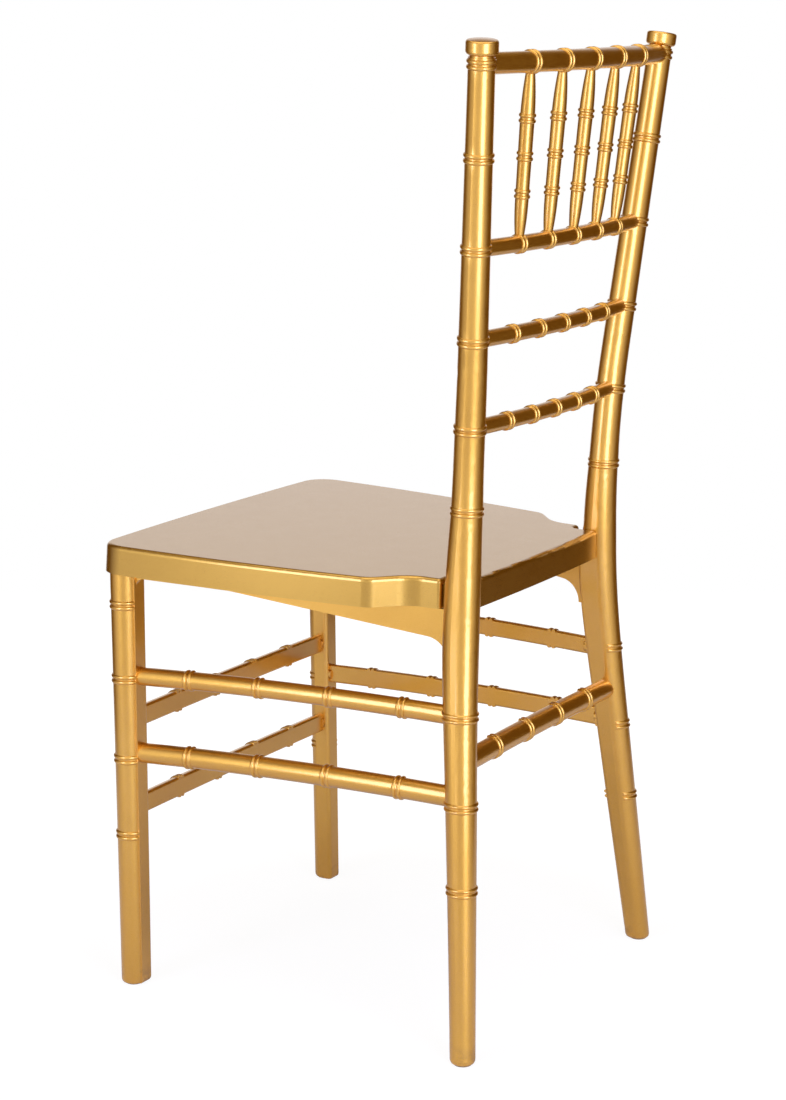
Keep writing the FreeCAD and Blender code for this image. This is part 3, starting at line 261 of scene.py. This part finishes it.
def camera():
    data = bpy.data.cameras.new("photo_camera")
    data.sensor_fit = "AUTO"
    data.sensor_width = SENSOR_WIDTH
    data.lens = FOCAL_PIXELS / max(PHOTO_WIDTH, PHOTO_HEIGHT) * SENSOR_WIDTH
    data.clip_start = 0.1
    data.clip_end = 60.0
    holder = bpy.data.objects.new("photo_camera", data)
    bpy.context.scene.collection.objects.link(holder)
    holder.location = CAMERA_PLACE
    back = TO_CAMERA * math.cos(CAMERA_ELEVATION) + Vector((0.0, 0.0, math.sin(CAMERA_ELEVATION)))
    holder.rotation_mode = "QUATERNION"
    holder.rotation_quaternion = (-back).to_track_quat("-Z", "Y")
    bpy.context.scene.camera = holder


def softbox(name, place, target, width, height, radiance, colour):
    data = bpy.data.lights.new(name, "AREA")
    data.shape = "RECTANGLE"
    data.size = width
    data.size_y = height
    data.energy = radiance * math.pi * width * height
    data.color = colour
    holder = bpy.data.objects.new(name, data)
    bpy.context.scene.collection.objects.link(holder)
    holder.location = place
    holder.rotation_mode = "QUATERNION"
    holder.rotation_quaternion = (target - place).to_track_quat("-Z", "Y")


def round_the_camera(degrees, distance, height):
    # a place seen from the chair at that angle to the right of the camera
    angle = math.radians(degrees)
    return (TO_CAMERA * math.cos(angle) + TO_RIGHT * math.sin(angle)) * distance + Vector((0.0, 0.0, height))


def lamps():
    left = round_the_camera(LEFT_PANEL_TURN, LEFT_PANEL_DISTANCE, LEFT_PANEL_MIDDLE)
    right = round_the_camera(RIGHT_PANEL_TURN, RIGHT_PANEL_DISTANCE, RIGHT_PANEL_MIDDLE)
    softbox("panel_left", left, PANEL_AIM,
            LEFT_PANEL_WIDTH, LEFT_PANEL_HEIGHT, LEFT_PANEL_RADIANCE, PANEL_WHITE)
    softbox("panel_right", right, PANEL_AIM,
            RIGHT_PANEL_WIDTH, RIGHT_PANEL_HEIGHT, RIGHT_PANEL_RADIANCE, PANEL_WHITE)
    softbox("softbox_top", OVERHEAD_PLACE, Vector((0.0, 0.0, 0.0)),
            OVERHEAD_WIDTH, OVERHEAD_WIDTH, OVERHEAD_RADIANCE, OVERHEAD_WHITE)


def glow_level(tree):
    # brightness of the studio by direction: full round the camera and on the backdrop, weak overhead
    direction = tree.nodes.new("ShaderNodeTexCoord").outputs["Generated"]
    parts = tree.nodes.new("ShaderNodeSeparateXYZ")
    tree.links.new(direction, parts.inputs[0])
    x, y, z = parts.outputs
    flat = math_node(tree, "SQRT", math_node(tree, "SUBTRACT", 1.0, math_node(tree, "MULTIPLY", z, z)), 0.0)
    flat = math_node(tree, "MAXIMUM", flat, STEEPEST_LEVEL_SHARE)

    def facing(degrees):
        # cosine of the level angle to a direction that far to the right of the camera
        toward = round_the_camera(degrees, 1.0, 0.0)
        along_x = math_node(tree, "MULTIPLY", x, toward.x)
        along_y = math_node(tree, "MULTIPLY", y, toward.y)
        return math_node(tree, "DIVIDE", math_node(tree, "ADD", along_x, along_y), flat)

    def lobe(degrees, end, full, level):
        dark_cosine = math.cos(math.radians(end))
        full_cosine = math.cos(math.radians(full))
        return remap(tree, facing(degrees), dark_cosine, full_cosine, 0.0, level)

    front = lobe(FRONT_GLOW_TURN, FRONT_GLOW_END, FRONT_GLOW_FULL, FRONT_GLOW_LEVEL)
    backdrop = lobe(BACKDROP_TURN, BACKDROP_END, BACKDROP_FULL, BACKDROP_LEVEL)
    backdrop_fade = remap(tree, z, BACKDROP_FADE_START, BACKDROP_FADE_END, 1.0, BACKDROP_LEFT)
    level = math_node(tree, "MAXIMUM", front, math_node(tree, "MULTIPLY", backdrop, backdrop_fade))
    return math_node(tree, "MULTIPLY", level, remap(tree, z, GLOW_FADE_START, GLOW_FADE_END, 1.0, GLOW_LEFT))


def background(tree, colour, strength):
    node = tree.nodes.new("ShaderNodeBackground")
    node.inputs["Color"].default_value = colour
    node.inputs["Strength"].default_value = strength
    return node


def world():
    made = bpy.data.worlds.new("studio")
    made.use_nodes = True
    bpy.context.scene.world = made
    tree = made.node_tree
    tree.nodes.clear()
    dim = background(tree, DIM_SURROUND, SURROUND_LEVEL)
    glow = background(tree, GLOW_WHITE, 1.0)
    link(tree, glow_level(tree), glow, "Strength")
    lit = tree.nodes.new("ShaderNodeAddShader")
    tree.links.new(dim.outputs[0], lit.inputs[0])
    tree.links.new(glow.outputs[0], lit.inputs[1])
    white = background(tree, PLAIN_WHITE, 1.0)
    rays = tree.nodes.new("ShaderNodeLightPath")
    mixed = tree.nodes.new("ShaderNodeMixShader")
    tree.links.new(rays.outputs["Is Camera Ray"], mixed.inputs[0])
    tree.links.new(lit.outputs[0], mixed.inputs[1])
    tree.links.new(white.outputs[0], mixed.inputs[2])
    output = tree.nodes.new("ShaderNodeOutputWorld")
    link(tree, mixed.outputs[0], output, "Surface")


def floor():
    bpy.ops.mesh.primitive_plane_add(size=1.0, location=(0.0, 0.0, 0.0))
    plane = bpy.context.object
    plane.name = "studio_floor"
    plane.scale = (FLOOR_WIDTH, FLOOR_LENGTH, 1.0)
    plane.rotation_euler = (0.0, 0.0, CAMERA_AZIMUTH)
    material = bpy.data.materials.new("floor_white")
    material.use_nodes = True
    tree = material.node_tree
    tree.nodes.clear()
    matt = tree.nodes.new("ShaderNodeBsdfDiffuse")
    matt.inputs["Color"].default_value = FLOOR_WHITE
    glow = tree.nodes.new("ShaderNodeEmission")
    glow.inputs["Color"].default_value = PLAIN_WHITE
    glow.inputs["Strength"].default_value = FLOOR_GLOW
    rays = tree.nodes.new("ShaderNodeLightPath")
    # the camera sees mostly plain white, fading to all white at the rim, with a faint shadow near the feet
    point = tree.nodes.new("ShaderNodeNewGeometry").outputs["Position"]
    length = tree.nodes.new("ShaderNodeVectorMath")
    length.operation = "LENGTH"
    tree.links.new(point, length.inputs[0])
    reach = length.outputs["Value"]
    near = remap(tree, reach, SHADOW_FULL_REACH, SHADOW_END_REACH, 1.0 - FLOOR_SHADOW_SHARE, 1.0)
    share = math_node(tree, "MULTIPLY", rays.outputs["Is Camera Ray"], near)
    mixed = tree.nodes.new("ShaderNodeMixShader")
    tree.links.new(share, mixed.inputs[0])
    tree.links.new(matt.outputs[0], mixed.inputs[1])
    tree.links.new(glow.outputs[0], mixed.inputs[2])
    output = tree.nodes.new("ShaderNodeOutputMaterial")
    tree.links.new(mixed.outputs[0], output.inputs["Surface"])
    plane.data.materials.append(material)


dress_nodes()
floor()
world()
lamps()
camera()
bpy.context.scene.view_settings.view_transform = "Standard"
